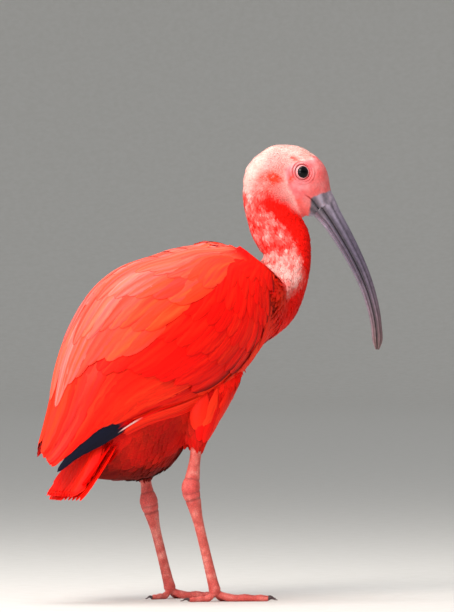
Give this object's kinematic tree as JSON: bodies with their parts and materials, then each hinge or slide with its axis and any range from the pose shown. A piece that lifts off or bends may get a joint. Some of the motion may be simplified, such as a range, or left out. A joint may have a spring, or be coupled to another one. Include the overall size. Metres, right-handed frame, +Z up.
{
  "type": "scarlet ibis",
  "caption": "Life-size still model of a scarlet wading bird with a long down-curved bill, standing with folded wings and its head turned to its right.",
  "frame": {"origin": "middle of the whole bird's footprint box, on the floor", "axes": "+X the way the bird's body faces, +Y its left side, +Z up"},
  "size_m": [0.324, 0.1334, 0.3976],
  "materials": {
    "head_feathers": "pale pink bare skin and short pink-white and red feathers",
    "neck_feathers": "soft short feathers, mottled pink-white and scarlet",
    "body_feathers": "soft scarlet feathers",
    "wing_feathers": "smooth satin scarlet feathers, black at the tips of the outer flight feathers",
    "tail_feathers": "smooth satin scarlet feathers",
    "bill": "satin horn, mauve-grey, pinkish towards the tip",
    "eye": "wet, near black",
    "leg_skin": "scaly matt skin, salmon pink",
    "claw": "dark horn"
  },
  "bodies": {
    "root": {"bill_lower": "bill", "bill_upper": "bill", "claw_hind_left": "claw", "claw_hind_right": "claw", "claw_inner_left": "claw", "claw_inner_right": "claw", "claw_middle_left": "claw", "claw_middle_right": "claw", "claw_outer_left": "claw", "claw_outer_right": "claw", "eye_left": "eye", "eye_right": "eye", "foot_left": "leg_skin", "foot_right": "leg_skin", "head": "head_feathers", "neck_lower": "neck_feathers", "neck_upper": "neck_feathers", "shank_left": "leg_skin", "shank_right": "leg_skin", "tail": "tail_feathers", "thigh_left": "body_feathers", "thigh_right": "body_feathers", "trunk": "body_feathers", "wing_left": "wing_feathers", "wing_right": "wing_feathers"}
  },
  "joints": []
}
